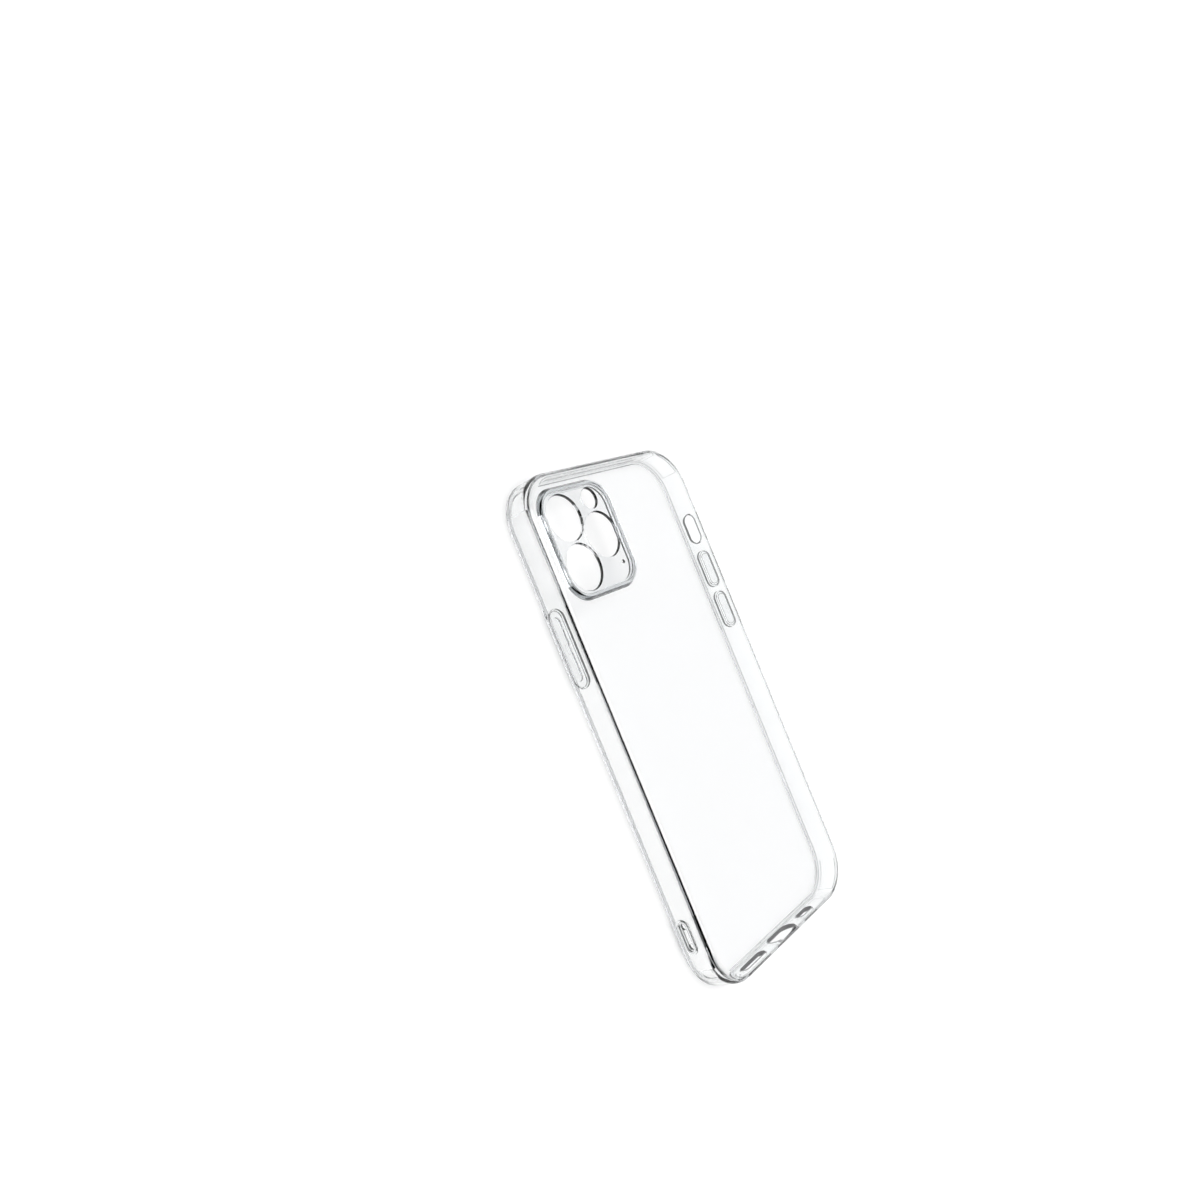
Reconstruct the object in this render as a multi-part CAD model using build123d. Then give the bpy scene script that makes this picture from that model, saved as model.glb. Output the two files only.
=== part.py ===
from build123d import *
import os

# A clear slip-on case for a phone, lying face down: its front lip rests on Z = 0 and its back faces +Z.
# +Y points to the phone's top edge and +X to the right, as seen from behind the phone.
# The origin is the middle of the front lip's plane. All sizes are in millimetres.

# ---- The phone that the case is made for ----
phone_width = 71.5
phone_length = 146.7
phone_thickness = 7.4
phone_corner = 11.4
fit_gap = 0.1               # between the phone's side and the case's wall

# ---- Case shell ----
wall = 1.4                  # side wall thickness
panel_thickness = 1.0       # hard clear back panel
lip_height = 0.6            # how far the front lip stands above the screen
lip_overhang = 0.7          # how far the lip reaches in over the screen's edge
back_edge_radius = 2.4
front_edge_radius = 0.5
lip_inner_chamfer = 0.25
seam_inset = 0.75           # from the outer wall in to the seam between frame and back panel
seam_gap = 0.03             # around the back panel, the camera bezel, the lens plate and the eyelet
ledge_gap = 0.01            # under the back panel, the camera bezel and the lens plate

# ---- Inner corner reliefs, which let a dropped corner flex ----
relief_depth = 0.4
relief_start = 20           # degrees round the corner
relief_end = 70
relief_margin = 1.0         # from the screen side and from the back panel to the relief

# ---- Camera island ----
lens_radius = 6.7
lens_web = 0.9              # plate left between two lens holes
lens_left_margin = 1.4      # from the lens holes to the window inside the raised bezel
lens_right_margin = 0.8
lens_end_margin = 0.8
island_from_side = 3.05     # from the phone's edges to the window
island_from_top = 4.95
island_corner = 6.2
bezel_crest = 0.8           # width of the bezel at its crest
bezel_skirt = 0.8           # how much wider its foot is
bezel_height = 1.4          # above the back panel
bezel_spigot = 0.8          # wall of the ring that goes through the back panel
bezel_crest_radius = 0.3
plate_ledge = 0.4           # inner ledge that the lens plate sits on
plate_ledge_height = 0.6
lens_plate_thickness = 0.8
lens_rim_chamfer = 0.25
flash_radius = 3.0
flash_from_right = 7.0      # from the window's edges to the flash hole's middle
flash_from_top = 3.9
microphone_radius = 0.6
microphone_from_right = 3.5
microphone_from_bottom = 5.5

# ---- Push-button covers ----
button_offset = 0.3         # the phone's buttons and openings sit this far from mid-thickness, screen side
button_proud = 0.5          # the raised ridge, above the outer wall
button_travel = 0.4
button_clearance = 0.1      # between a cover and its slot
button_web = 0.5            # wall left round a cover, over its flange pocket
flange_overlap = 0.5        # flange reach behind the web
flange_thickness = 0.35
nub_length = 3.0            # pad that meets the phone's own button
nub_width = 1.2
nub_clearance = 0.09        # left between the pad and the phone at full travel
slot_chamfer = 0.15
ridge_width = 2.6
ridge_edge_radius = 0.3
power_length = 21.7
power_width = 4.2
power_ridge_length = 18.4
power_height = 3.6          # from the front lip's plane to the cover's middle
power_from_top = 45.75      # from the phone's top edge to the cover's middle
volume_length = 11.0
volume_width = 3.4
volume_ridge_length = 10.2
volume_up_from_top = 39.45
volume_down_from_top = 53.2

# ---- Openings in the walls ----
mute_length = 9.4
mute_width = 4.4
mute_from_top = 25.9
port_length = 12.0
port_width = 5.6
speaker_length = 11.6
speaker_from_port = 4.8     # wall left between the port and the speaker slot
microphone_slot_length = 7.4
microphone_from_port = 4.3
sound_slot_width = 3.0
opening_chamfer = 0.3

# ---- Lanyard eyelet ----
eyelet_length = 10.2
eyelet_width = 4.4
eyelet_from_bottom = 17.45  # from the phone's bottom edge to the eyelet's middle
eyelet_height = 3.7         # from the front lip's plane to the eyelet's middle
eyelet_proud = 0.3
eyelet_rim = 0.6            # rim of the eyelet that lies on the outer wall
eyelet_rim_radius = 0.15
eyelet_recess_rim = 0.4     # inside the spigot's outline, round the recess
eyelet_recess = 0.6         # depth of the recess below the rim's crest
strap_hole_radius = 0.9
strap_channel_depth = 0.45  # behind the bar, where the strap's cord passes
strap_channel_width = 2.3

# ---- Sizes that follow ----
cavity_width = phone_width + 2 * fit_gap
cavity_length = phone_length + 2 * fit_gap
cavity_corner = phone_corner + fit_gap
case_width = cavity_width + 2 * wall
case_length = cavity_length + 2 * wall
case_corner = cavity_corner + wall
panel_z = lip_height + phone_thickness
case_thickness = panel_z + panel_thickness
button_z = lip_height + phone_thickness / 2 - button_offset
phone_top = phone_length / 2
lens_pitch = 2 * lens_radius + lens_web
lens_run = lens_pitch * 3 ** 0.5 / 2   # the lens holes stand on an equilateral triangle
island_width = lens_left_margin + 2 * lens_radius + lens_run + lens_right_margin
island_length = 2 * lens_end_margin + 2 * lens_radius + lens_pitch
island_x = island_from_side + island_width / 2 - phone_width / 2
island_y = phone_top - island_from_top - island_length / 2
plate_z = panel_z + plate_ledge_height + ledge_gap
flange_front = button_web + ledge_gap  # depths below the outer wall's face
flange_back = flange_front + flange_thickness
nub_back = wall + fit_gap - button_travel - nub_clearance
margin = 5.0                # how far cutting solids run past what they cut


def rounded_block(width, length, corner, low, high):
    """An upright block with rounded corners between two heights, centred on the origin."""
    return extrude(Pos(0, 0, low) * RectangleRounded(width, length, corner), high - low)


def pill(plane, length, width, low, high):
    """A pill-shaped block on a wall, from low to high along the wall's outward normal."""
    return extrude(plane.offset(low) * SlotOverall(length, width), high - low)


def flared_pill(plane, length, width, depth):
    """The cut that chamfers a pill-shaped opening's outer edge at 45 degrees."""
    foot = plane.offset(-depth) * SlotOverall(length, width)
    mouth = plane.offset(depth) * SlotOverall(length + 4 * depth, width + 4 * depth)
    return loft([foot.face(), mouth.face()])


def left_wall(y, z=button_z):
    """Plane on the outer face of the left wall, X along the wall, Z outward."""
    return Plane(origin=(-case_width / 2, y, z), x_dir=(0, 1, 0), z_dir=(-1, 0, 0))


def right_wall(y):
    """Plane on the outer face of the right wall, X along the wall, Z outward."""
    return Plane(origin=(case_width / 2, y, button_z), x_dir=(0, -1, 0), z_dir=(1, 0, 0))


def bottom_wall(x):
    """Plane on the outer face of the bottom wall, X along the wall, Z outward."""
    return Plane(origin=(x, -case_length / 2, button_z), x_dir=(1, 0, 0), z_dir=(0, -1, 0))


def case_envelope():
    """The case's outer form, solid, with its back and front edges rounded."""
    body = rounded_block(case_width, case_length, case_corner, 0, case_thickness)
    body = fillet(body.faces().sort_by(Axis.Z)[-1].edges(), back_edge_radius)
    return fillet(body.faces().sort_by(Axis.Z)[0].edges(), front_edge_radius)


def phone_cavity():
    """The space that the phone fills."""
    return rounded_block(cavity_width, cavity_length, cavity_corner, lip_height, panel_z)


def screen_window():
    """The opening inside the front lip, with the lip's lower inner edge chamfered."""
    width = cavity_width - 2 * lip_overhang
    length = cavity_length - 2 * lip_overhang
    corner = cavity_corner - lip_overhang
    opening = rounded_block(width, length, corner, -margin, lip_height + lip_inner_chamfer)
    grown = 4 * lip_inner_chamfer
    mouth = RectangleRounded(width + grown, length + grown, corner + grown / 2)
    throat = RectangleRounded(width, length, corner)
    low = Pos(0, 0, -lip_inner_chamfer) * mouth
    high = Pos(0, 0, lip_inner_chamfer) * throat
    return opening + loft([low.face(), high.face()])


def seam_block(outward):
    """The block that holds the back panel, grown outward and downward by a gap."""
    inset = seam_inset - outward
    return rounded_block(
        case_width - 2 * inset, case_length - 2 * inset, case_corner - inset,
        panel_z, case_thickness + margin)


def corner_relief():
    """One shallow pocket in the wall round an inner corner, centred on the corner's arc centre."""
    reach = 2 * (cavity_corner + relief_depth)
    ring = Circle(cavity_corner + relief_depth) - Circle(cavity_corner - relief_depth)
    start_ray = Vector(reach, 0).rotate(Axis.Z, relief_start)
    end_ray = Vector(reach, 0).rotate(Axis.Z, relief_end)
    wedge = make_face(Polyline((0, 0), start_ray, end_ray, (0, 0)))
    depth = phone_thickness - 2 * relief_margin
    return extrude(Pos(0, 0, lip_height + relief_margin) * (ring & wedge), depth)


def corner_reliefs():
    """The four corner pockets."""
    x = cavity_width / 2 - cavity_corner
    y = cavity_length / 2 - cavity_corner
    relief = corner_relief()
    corners = [(x, y, 0), (-x, y, 90), (-x, -y, 180), (x, -y, 270)]
    return [Pos(cx, cy, 0) * Rot(0, 0, turn) * relief for cx, cy, turn in corners]


def button_places():
    """Each push-button cover: node name, plane on the wall, length, width and length of its ridge."""
    power = left_wall(phone_top - power_from_top, power_height)
    volume_up = right_wall(phone_top - volume_up_from_top)
    volume_down = right_wall(phone_top - volume_down_from_top)
    return [
        ("power_button_cap", power, power_length, power_width, power_ridge_length),
        ("volume_up_cap", volume_up, volume_length, volume_width, volume_ridge_length),
        ("volume_down_cap", volume_down, volume_length, volume_width, volume_ridge_length),
    ]


def button_seat(plane, length, width):
    """Cuts for one cover: its slot, the slot's chamfer and the flange pocket behind the web."""
    slot_length = length + 2 * button_clearance
    slot_width = width + 2 * button_clearance
    pocket_length = slot_length + 2 * flange_overlap
    pocket_width = slot_width + 2 * flange_overlap
    slot = pill(plane, slot_length, slot_width, -wall, margin)
    edge = flared_pill(plane, slot_length, slot_width, slot_chamfer)
    pocket = pill(plane, pocket_length, pocket_width, -wall - fit_gap, -button_web)
    return [slot, edge, pocket]


def button_cap(plane, length, width, ridge_length):
    """One push-button cover: a raised ridge on a base flush with the wall, a flange and the inner pad."""
    ridge = pill(plane, ridge_length, ridge_width, -flange_front, button_proud)
    top = ridge.faces().sort_by(Axis(plane.origin, plane.z_dir))[-1]
    cap = fillet(top.edges(), ridge_edge_radius)
    cap += pill(plane, length, width, -flange_back, 0)
    flange_length = length + 2 * flange_overlap
    flange_width = width + 2 * flange_overlap
    cap += pill(plane, flange_length, flange_width, -flange_back, -flange_front)
    return cap + pill(plane, nub_length, nub_width, -nub_back, -flange_back)


def wall_openings():
    """The mute-switch slot in the right wall and the three slots in the bottom wall."""
    speaker_x = -(port_length + speaker_length) / 2 - speaker_from_port
    microphone_x = (port_length + microphone_slot_length) / 2 + microphone_from_port
    slots = [
        (right_wall(phone_top - mute_from_top), mute_length, mute_width),
        (bottom_wall(0), port_length, port_width),
        (bottom_wall(speaker_x), speaker_length, sound_slot_width),
        (bottom_wall(microphone_x), microphone_slot_length, sound_slot_width),
    ]
    cuts = []
    for plane, length, width in slots:
        cuts.append(pill(plane, length, width, -wall - margin / 2, margin))
        cuts.append(flared_pill(plane, length, width, opening_chamfer))
    return cuts


def eyelet_place():
    """Plane of the eyelet on the left wall."""
    return left_wall(eyelet_from_bottom - phone_top, eyelet_height)


def eyelet_outline():
    """Length and width of the eyelet's spigot, inside its rim."""
    return eyelet_length - 2 * eyelet_rim, eyelet_width - 2 * eyelet_rim


def eyelet_seat():
    """The pill-shaped hole in the left wall that the lanyard eyelet fills."""
    length, width = eyelet_outline()
    low = -wall - margin / 2
    return pill(eyelet_place(), length + 2 * seam_gap, width + 2 * seam_gap, low, margin)


def bumper_frame():
    """The soft frame: side walls, front lip, button seats, wall openings and corner reliefs."""
    frame = case_envelope() - phone_cavity() - screen_window() - seam_block(seam_gap)
    cuts = corner_reliefs() + wall_openings() + [eyelet_seat()]
    for _, plane, length, width, _ in button_places():
        cuts += button_seat(plane, length, width)
    for cut in cuts:
        frame -= cut
    return frame


def back_panel():
    """The hard clear back, a plate with its edge rounded down to the seam, open at the camera island."""
    lifted = Pos(0, 0, ledge_gap) * seam_block(0)
    window = island_block(bezel_spigot + seam_gap, panel_z - margin, case_thickness + margin)
    return (case_envelope() & lifted) - window


def island_block(outward, low, high):
    """A block with the camera window's outline, grown outward all round."""
    outline = RectangleRounded(
        island_width + 2 * outward, island_length + 2 * outward, island_corner + outward)
    return extrude(Pos(island_x, island_y, low) * outline, high - low)


def camera_bezel():
    """The raised ring round the lenses, with a sloping skirt, a spigot and a ledge for the lens plate."""
    foot_reach = bezel_crest + bezel_skirt
    foot_z = case_thickness + ledge_gap
    crest_z = case_thickness + bezel_height
    foot = RectangleRounded(
        island_width + 2 * foot_reach, island_length + 2 * foot_reach, island_corner + foot_reach)
    crest = RectangleRounded(
        island_width + 2 * bezel_crest, island_length + 2 * bezel_crest, island_corner + bezel_crest)
    centre = Pos(island_x, island_y, 0)
    ring = loft([(centre * Pos(0, 0, foot_z) * foot).face(), (centre * Pos(0, 0, crest_z) * crest).face()])
    ring += island_block(bezel_spigot, panel_z + ledge_gap, foot_z + bezel_crest)
    ring -= island_block(-plate_ledge, panel_z - margin, crest_z + margin)
    ring -= island_block(0, plate_z - ledge_gap, crest_z + margin)
    crest_edges = ring.faces().sort_by(Axis.Z)[-1].edges()
    return fillet(crest_edges, bezel_crest_radius)


def lens_places():
    """Centres of the three lens holes: two on the left, one on the right."""
    right_x = island_x + island_width / 2 - lens_right_margin - lens_radius
    left_x = right_x - lens_run
    return [
        (left_x, island_y + lens_pitch / 2),
        (left_x, island_y - lens_pitch / 2),
        (right_x, island_y),
    ]


def lens_plate():
    """The inset plate with three lens holes, the flash hole and a microphone hole."""
    top_z = plate_z + lens_plate_thickness
    plate = island_block(-seam_gap, plate_z, top_z)
    holes = [(x, y, lens_radius) for x, y in lens_places()]
    right = island_x + island_width / 2
    top = island_y + island_length / 2
    holes.append((right - flash_from_right, top - flash_from_top, flash_radius))
    for x, y, radius in holes:
        plate -= Pos(x, y, top_z) * Cylinder(radius, margin)
        plate -= Pos(x, y, top_z) * Cone(radius, radius + 2 * lens_rim_chamfer, 2 * lens_rim_chamfer)
    bottom = island_y - island_length / 2
    microphone = Pos(right - microphone_from_right, bottom + microphone_from_bottom, top_z)
    return plate - microphone * Cylinder(microphone_radius, margin)


def lanyard_eyelet():
    """The pill-shaped insert with two strap holes and a bar between them."""
    plane = eyelet_place()
    length, width = eyelet_outline()
    rim = pill(plane, eyelet_length, eyelet_width, ledge_gap, eyelet_proud)
    top = rim.faces().sort_by(Axis(plane.origin, plane.z_dir))[-1]
    body = fillet(top.edges(), eyelet_rim_radius)
    body += pill(plane, length, width, -wall, ledge_gap)
    inner_length = length - 2 * eyelet_recess_rim
    inner_width = width - 2 * eyelet_recess_rim
    body -= pill(plane, inner_length, inner_width, eyelet_proud - eyelet_recess, margin)
    pitch = inner_length - inner_width
    for along in (-pitch / 2, pitch / 2):
        hole = plane.offset(-wall - margin) * Pos(along, 0) * Circle(strap_hole_radius)
        body -= extrude(hole, 2 * margin)
    channel_length = pitch + strap_channel_width
    channel = pill(plane, channel_length, strap_channel_width, -wall - margin, strap_channel_depth - wall)
    return body - channel


def build_parts():
    """Every node of the case by name."""
    parts = {
        "bumper_frame": bumper_frame(),
        "back_panel": back_panel(),
        "camera_bezel": camera_bezel(),
        "lens_plate": lens_plate(),
        "lanyard_eyelet": lanyard_eyelet(),
    }
    for name, plane, length, width, ridge_length in button_places():
        parts[name] = button_cap(plane, length, width, ridge_length)
    return parts


os.makedirs("parts", exist_ok=True)
for name, part in build_parts().items():
    export_step(part, f"parts/{name}.step")
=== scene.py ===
import bpy
from mathutils import Matrix, Vector


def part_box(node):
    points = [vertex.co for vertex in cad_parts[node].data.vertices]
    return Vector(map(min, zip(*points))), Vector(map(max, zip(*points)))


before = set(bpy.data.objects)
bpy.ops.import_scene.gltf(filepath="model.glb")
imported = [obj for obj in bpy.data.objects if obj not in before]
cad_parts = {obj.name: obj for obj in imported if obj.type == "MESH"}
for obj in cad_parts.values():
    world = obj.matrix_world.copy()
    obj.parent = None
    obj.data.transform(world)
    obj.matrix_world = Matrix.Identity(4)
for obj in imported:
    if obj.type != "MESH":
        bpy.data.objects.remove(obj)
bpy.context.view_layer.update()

MM = 0.001
scene = bpy.context.scene


# ---- Camera ----

CAMERA_AT = Vector((-244.9, 30.1, 199.0)) * MM
CAMERA_RIGHT = Vector((0.6118, -0.3806, 0.6934))
CAMERA_AHEAD = Vector((0.7462, -0.0132, -0.6656))
SENSOR = 36.0
FOCAL_LENGTH = 32.03
SHIFT_X = 0.0033
SHIFT_Y = 0.0359
NEAREST_SEEN = 10 * MM


def add_camera():
    """The photograph's viewpoint: above the power-button side, rolled so that the case stands upright."""
    data = bpy.data.cameras.new("camera")
    data.sensor_width = SENSOR
    data.lens = FOCAL_LENGTH
    data.shift_x = SHIFT_X
    data.shift_y = SHIFT_Y
    data.clip_start = NEAREST_SEEN
    camera = bpy.data.objects.new("camera", data)
    scene.collection.objects.link(camera)
    back = -CAMERA_AHEAD.normalized()
    right = (CAMERA_RIGHT - back * CAMERA_RIGHT.dot(back)).normalized()
    up = back.cross(right)
    turn = Matrix((right, up, back)).transposed().to_4x4()
    camera.matrix_world = Matrix.Translation(CAMERA_AT) @ turn
    scene.camera = camera


# ---- Material nodes ----

def grey(level):
    """A grey, as an opaque colour."""
    return (level, level, level, 1)


def new_material(name):
    """An empty node material, its tree and its output node."""
    material = bpy.data.materials.new(name)
    material.use_nodes = True
    tree = material.node_tree
    tree.nodes.clear()
    output = tree.nodes.new("ShaderNodeOutputMaterial")
    return material, tree, output


def noise(tree, place, scale, detail):
    """Noise over the object's own coordinates, which are in metres."""
    texture = tree.nodes.new("ShaderNodeTexNoise")
    texture.inputs["Scale"].default_value = scale
    texture.inputs["Detail"].default_value = detail
    tree.links.new(place, texture.inputs["Vector"])
    return texture.outputs["Fac"]


def mapped(tree, value, low, high, to_low, to_high):
    """A value's range low to high, mapped onto to_low to to_high."""
    node = tree.nodes.new("ShaderNodeMapRange")
    for name, number in (("From Min", low), ("From Max", high), ("To Min", to_low), ("To Max", to_high)):
        node.inputs[name].default_value = number
    tree.links.new(value, node.inputs["Value"])
    return node.outputs["Result"]


def bumped(tree, height, distance, normal=None):
    """A bump of the given depth in metres, over another bump if one is given."""
    node = tree.nodes.new("ShaderNodeBump")
    node.inputs["Strength"].default_value = 1.0
    node.inputs["Distance"].default_value = distance
    tree.links.new(height, node.inputs["Height"])
    if normal is not None:
        tree.links.new(normal, node.inputs["Normal"])
    return node.outputs["Normal"]


def split(tree, vector):
    """A vector's X, Y and Z, by name."""
    node = tree.nodes.new("ShaderNodeSeparateXYZ")
    tree.links.new(vector, node.inputs["Vector"])
    return node.outputs


def surface_normal(tree):
    """X, Y and Z of the surface's own normal, before any bump."""
    return split(tree, tree.nodes.new("ShaderNodeNewGeometry").outputs["True Normal"])


def within(tree, value, centre, reach):
    """1 where a value lies within reach of a centre, else 0."""
    node = tree.nodes.new("ShaderNodeMath")
    node.operation = "COMPARE"
    tree.links.new(value, node.inputs[0])
    node.inputs[1].default_value = centre
    node.inputs[2].default_value = reach
    return node.outputs["Value"]


def combined(tree, operation, first, second=None):
    """A Math node of one or two inputs."""
    node = tree.nodes.new("ShaderNodeMath")
    node.operation = operation
    tree.links.new(first, node.inputs[0])
    if second is not None:
        tree.links.new(second, node.inputs[1])
    return node.outputs["Value"]


def tinted(tree, plastic, share, tint):
    """Mixes a tint into the plastic's colour by a share from 0 to 1."""
    node = tree.nodes.new("ShaderNodeMixRGB")
    colour = plastic.inputs["Base Color"]
    node.inputs["Color1"].default_value = colour.default_value
    if colour.links:
        tree.links.new(colour.links[0].from_socket, node.inputs["Color1"])
    node.inputs["Color2"].default_value = (*tint, 1)
    tree.links.new(share, node.inputs["Fac"])
    tree.links.new(node.outputs["Color"], colour)


# ---- Unpolished edges of the soft frame, with painted shade on them ----

WALL = 1.4 * MM
WALL_REACH = 0.6                 # depth covered each side of the wall's middle, as a share of WALL
CUT_HEIGHT = 4.0 * MM            # middle of the holes in the walls
CUT_HEIGHT_REACH = 3.1 * MM
SIDE_CUTS_REACH = 62 * MM        # the holes lie within this of the middle of their wall
BOTTOM_CUTS_REACH = 23.5 * MM
CUT_SLOPE = 0.3                  # most that a cut face's normal leans out of the wall
# painted shade: the holes' faces are coloured near black, and CUT_CLARITY makes them mostly opaque so
# that it shows
CUT_PAINTED_SHADE = (0.035, 0.036, 0.038)
CUT_ROUGHNESS = 0.55
CUT_CLARITY = 0.1

LIP_EDGE = 0.5 * MM              # height of the lip's rounding
LIP_EDGE_REACH = 0.52            # height covered each side of its middle, as a share of LIP_EDGE
LIP_TILT = 0.52                  # middle of how far its normals lean along Z, up or down
LIP_TILT_REACH = 0.43
# painted shade: a mid grey outline drawn into the colour of the lip's rounding
LIP_PAINTED_SHADE = (0.42, 0.43, 0.44)
LIP_ROUGHNESS = 0.12


def wall_cuts(tree, depth, middle, along, run, lean):
    """1 in a wall's thickness and along its run of holes, where the surface faces along the wall."""
    mask = within(tree, depth, middle, WALL * WALL_REACH)
    for value, reach in ((along, run), (lean, CUT_SLOPE)):
        mask = combined(tree, "MULTIPLY", mask, within(tree, value, 0.0, reach))
    return mask


def cut_faces(tree, place):
    """1 on the faces of the holes cut through the side and bottom walls, else 0."""
    where = split(tree, place)
    normal = surface_normal(tree)
    low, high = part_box("bumper_frame")
    across = combined(tree, "ABSOLUTE", where["X"])
    sides = wall_cuts(tree, across, high[0] - WALL / 2, where["Y"], SIDE_CUTS_REACH, normal["X"])
    bottom = wall_cuts(tree, where["Y"], low[1] + WALL / 2, where["X"], BOTTOM_CUTS_REACH, normal["Y"])
    height = within(tree, where["Z"], CUT_HEIGHT, CUT_HEIGHT_REACH)
    return combined(tree, "MULTIPLY", height, combined(tree, "MAXIMUM", sides, bottom))


def lip_rounding(tree, place):
    """1 on the rounded and chamfered edges of the front lip, else 0."""
    low = within(tree, split(tree, place)["Z"], LIP_EDGE / 2, LIP_EDGE * LIP_EDGE_REACH)
    tilt = combined(tree, "ABSOLUTE", surface_normal(tree)["Z"])
    return combined(tree, "MULTIPLY", low, within(tree, tilt, LIP_TILT, LIP_TILT_REACH))


def dulled_with_painted_shade(tree, plastic, gloss, mask, tint, roughness):
    """Paints shade into the plastic's colour where a mask is 1, and returns its roughness, raised there.
    """
    tinted(tree, plastic, mask, tint)
    return combined(tree, "MAXIMUM", gloss, mapped(tree, mask, 0.0, 1.0, 0.0, roughness))


# ---- Clear plastic ----

MARKS_SCALE = 260.0              # handling marks in the gloss
MARKS_DETAIL = 5.0
MARKS_LOW = 0.35                 # noise at which the gloss is at its best, and at its dullest
MARKS_HIGH = 0.75
WAVE_DETAIL = 2.0
GRAIN_DETAIL = 3.0
DEPTH_GREY = (0.1, 0.16, 0.2)    # the lower a colour, the faster depth takes it away
FACE_PASS = 0.985                # light let through where it meets a face squarely
EDGE_PASS = 0.75                 # and where it grazes one
EDGE_BLEND = 0.35


def lit_through(tree, surface):
    """The surface as the camera sees it, but open to lamp and bounced rays, dimmed towards its edges."""
    nodes, link = tree.nodes, tree.links.new
    edge = nodes.new("ShaderNodeLayerWeight")
    edge.inputs["Blend"].default_value = EDGE_BLEND
    dim = nodes.new("ShaderNodeMixRGB")
    dim.inputs["Color1"].default_value = grey(FACE_PASS)
    dim.inputs["Color2"].default_value = grey(EDGE_PASS)
    link(edge.outputs["Facing"], dim.inputs["Fac"])
    through = nodes.new("ShaderNodeBsdfTransparent")
    link(dim.outputs["Color"], through.inputs["Color"])
    ray = nodes.new("ShaderNodeLightPath")
    either = combined(tree, "MAXIMUM", ray.outputs["Is Shadow Ray"], ray.outputs["Is Diffuse Ray"])
    choose = nodes.new("ShaderNodeMixShader")
    link(either, choose.inputs["Fac"])
    link(surface, choose.inputs[1])
    link(through.outputs["BSDF"], choose.inputs[2])
    return choose.outputs["Shader"]


def clear_plastic(name, tint, refraction, roughness, wave, grain, density, dull_and_shade_edges=False):
    """Clear moulded plastic with slow flow waves, a fine grain and handling marks in its gloss.

    roughness is its lowest and highest; wave and grain are each a scale and a depth in metres;
    density is how fast it darkens with depth, per metre.
    With dull edges, the faces of the wall's holes and the lip's edges are left unpolished and given
    painted shade, near black on the holes' faces and mid grey on the lip's edges.
    """
    material, tree, output = new_material(name)
    plastic = tree.nodes.new("ShaderNodeBsdfPrincipled")
    plastic.inputs["Base Color"].default_value = (*tint, 1)
    plastic.inputs["Transmission Weight"].default_value = 1.0
    plastic.inputs["IOR"].default_value = refraction
    place = tree.nodes.new("ShaderNodeTexCoord").outputs["Object"]
    gloss = mapped(tree, noise(tree, place, MARKS_SCALE, MARKS_DETAIL), MARKS_LOW, MARKS_HIGH, *roughness)
    if dull_and_shade_edges:
        # painted shade: near black and mostly opaque on the holes' faces, mid grey on the lip's rounding,
        # both also rougher
        cuts = cut_faces(tree, place)
        gloss = dulled_with_painted_shade(tree, plastic, gloss, cuts, CUT_PAINTED_SHADE, CUT_ROUGHNESS)
        clear = mapped(tree, cuts, 0.0, 1.0, 1.0, CUT_CLARITY)
        tree.links.new(clear, plastic.inputs["Transmission Weight"])
        gloss = dulled_with_painted_shade(tree, plastic, gloss, lip_rounding(tree, place), LIP_PAINTED_SHADE, LIP_ROUGHNESS)
    tree.links.new(gloss, plastic.inputs["Roughness"])
    normal = bumped(tree, noise(tree, place, wave[0], WAVE_DETAIL), wave[1])
    normal = bumped(tree, noise(tree, place, grain[0], GRAIN_DETAIL), grain[1], normal)
    tree.links.new(normal, plastic.inputs["Normal"])
    tree.links.new(lit_through(tree, plastic.outputs["BSDF"]), output.inputs["Surface"])
    depth = tree.nodes.new("ShaderNodeVolumeAbsorption")
    depth.inputs["Color"].default_value = (*DEPTH_GREY, 1)
    depth.inputs["Density"].default_value = density
    tree.links.new(depth.outputs["Volume"], output.inputs["Volume"])
    return material


# ---- The case's pieces ----

def dress(material, *names):
    """Gives every material slot of some CAD nodes one material."""
    for name in names:
        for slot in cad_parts[name].material_slots:
            slot.material = material


def dress_back():
    """The hard back, which is the clearest and flattest piece."""
    hard = clear_plastic("clear_hard_back", tint=(0.99, 0.995, 1.0), refraction=1.46,
                         roughness=(0.0, 0.015), wave=(35.0, 1e-6), grain=(900.0, 1e-7), density=12.0)
    dress(hard, "back_panel")


def dress_camera_window():
    """Polycarbonate, which darkens faster in the bezel than in the lens plate."""
    for name, density, node in (("clear_bezel", 150.0, "camera_bezel"),
                                ("clear_lens_plate", 100.0, "lens_plate")):
        window = clear_plastic(name, tint=(0.985, 0.99, 0.995), refraction=1.585,
                               roughness=(0.0, 0.02), wave=(60.0, 1e-6), grain=(1200.0, 1e-7),
                               density=density)
        dress(window, node)


def dress_frame():
    """Soft TPU for the frame."""
    soft = clear_plastic("clear_soft_frame", tint=(0.985, 0.99, 0.99), refraction=1.52,
                         roughness=(0.0, 0.03), wave=(50.0, 5e-7), grain=(1500.0, 5e-8),
                         density=22.0, dull_and_shade_edges=True)
    dress(soft, "bumper_frame")


def dress_inserts():
    """Cloudier and wavier TPU for the push covers and the eyelet."""
    button = clear_plastic("clear_button", tint=(0.985, 0.99, 0.99), refraction=1.52,
                           roughness=(0.02, 0.06), wave=(120.0, 4e-6), grain=(2500.0, 2e-7),
                           density=90.0)
    dress(button, "power_button_cap", "volume_up_cap", "volume_down_cap", "lanyard_eyelet")


# ---- Studio ----

FLOOR_SIZE = 40.0
FLOOR_DROP = 0.2 * MM
FLOOR_LEVEL = 0.96
SKY_STRENGTH = 6.2
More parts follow.
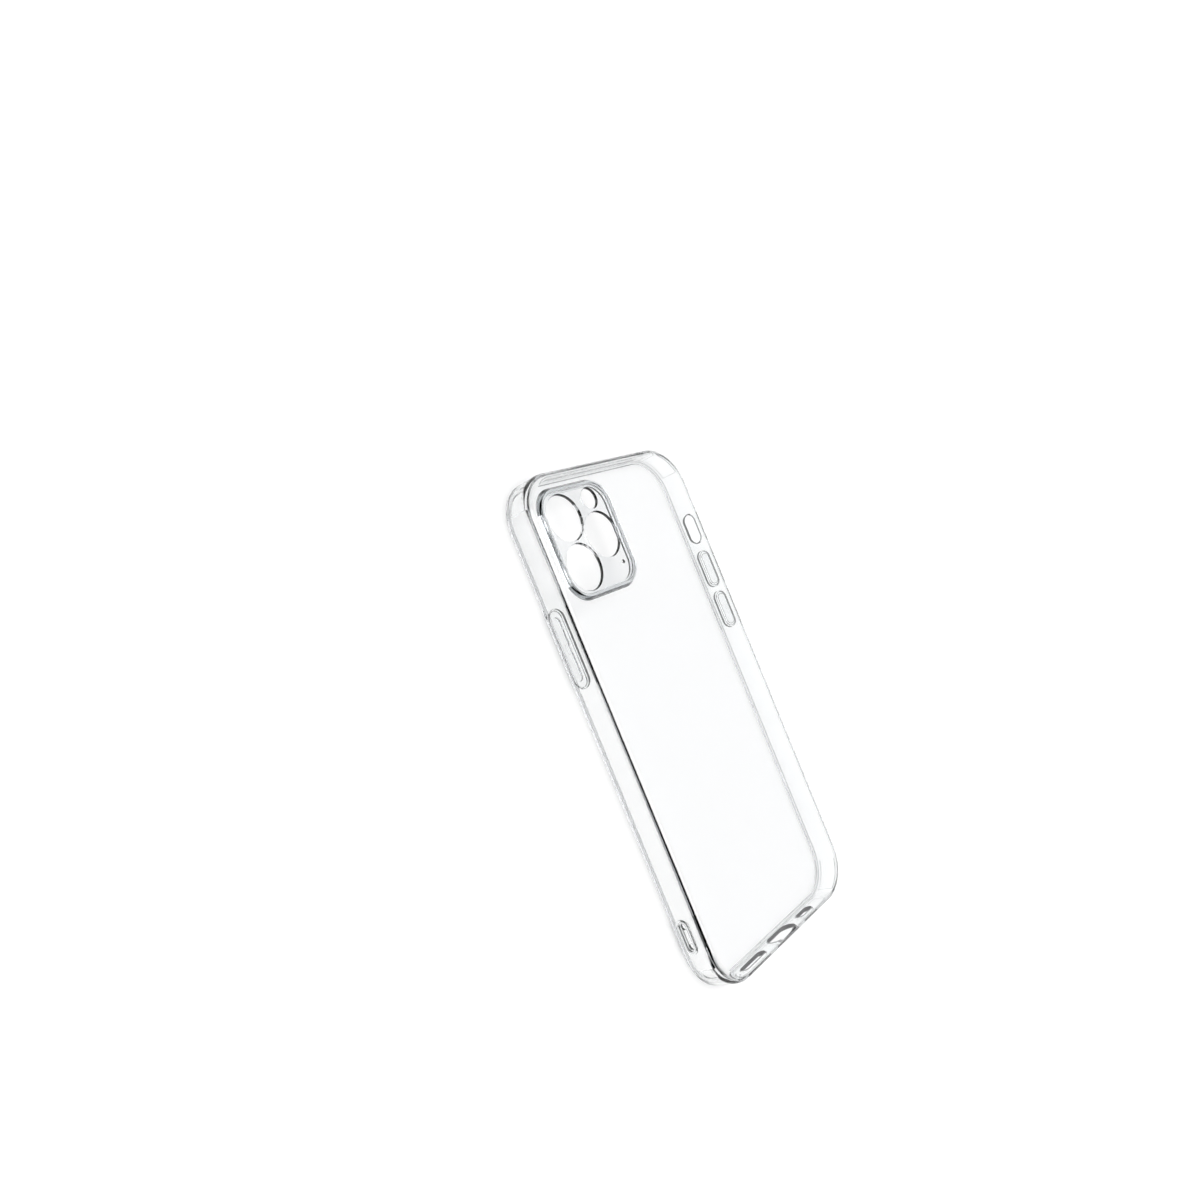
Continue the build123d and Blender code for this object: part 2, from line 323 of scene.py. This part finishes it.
# Each is a height, from 0 at the horizon to 1 straight up, and the sky's level there.
SKY = [(0.0, 0.15), (0.05, 0.12), (0.1, 0.0), (0.46, 0.0), (0.52, 0.161), (0.70, 0.161),
       (0.76, 0.0), (0.92, 0.0), (0.94, 1.0), (1.0, 1.0)]
BACKDROP_LEVEL = 1.0


def add_floor():
    """A large pale floor, just under the case."""
    material, tree, output = new_material("floor")
    paper = tree.nodes.new("ShaderNodeBsdfDiffuse")
    paper.inputs["Color"].default_value = grey(FLOOR_LEVEL)
    tree.links.new(paper.outputs["BSDF"], output.inputs["Surface"])
    bpy.ops.mesh.primitive_plane_add(size=FLOOR_SIZE)
    floor = bpy.context.object
    floor.name = "floor"
    floor.location.z = -FLOOR_DROP
    floor.data.materials.append(material)


def add_world():
    """Light that is bright overhead and dark round the sides, so that clear edges draw dark lines.

    The camera's own rays see a plain white backdrop instead.
    """
    world = bpy.data.worlds.new("studio")
    scene.world = world
    world.use_nodes = True
    tree = world.node_tree
    lights = tree.nodes["Background"]
    lights.inputs["Strength"].default_value = SKY_STRENGTH
    direction = tree.nodes.new("ShaderNodeTexCoord").outputs["Generated"]
    ramp = tree.nodes.new("ShaderNodeValToRGB")
    tree.links.new(split(tree, direction)["Z"], ramp.inputs["Fac"])
    tree.links.new(ramp.outputs["Color"], lights.inputs["Color"])
    elements = ramp.color_ramp.elements
    while len(elements) < len(SKY):
        elements.new(0.5)        # moved to its own height below
    for element, (height, level) in zip(elements, SKY):
        element.position = height
        element.color = grey(level)
    backdrop = tree.nodes.new("ShaderNodeBackground")
    backdrop.inputs["Color"].default_value = grey(BACKDROP_LEVEL)
    ray = tree.nodes.new("ShaderNodeLightPath")
    choose = tree.nodes.new("ShaderNodeMixShader")
    tree.links.new(ray.outputs["Is Camera Ray"], choose.inputs["Fac"])
    tree.links.new(lights.outputs["Background"], choose.inputs[1])
    tree.links.new(backdrop.outputs["Background"], choose.inputs[2])
    tree.links.new(choose.outputs["Shader"], tree.nodes["World Output"].inputs["Surface"])


add_camera()
dress_back()
dress_camera_window()
dress_frame()
dress_inserts()
add_floor()
add_world()
scene.view_settings.view_transform = "Standard"
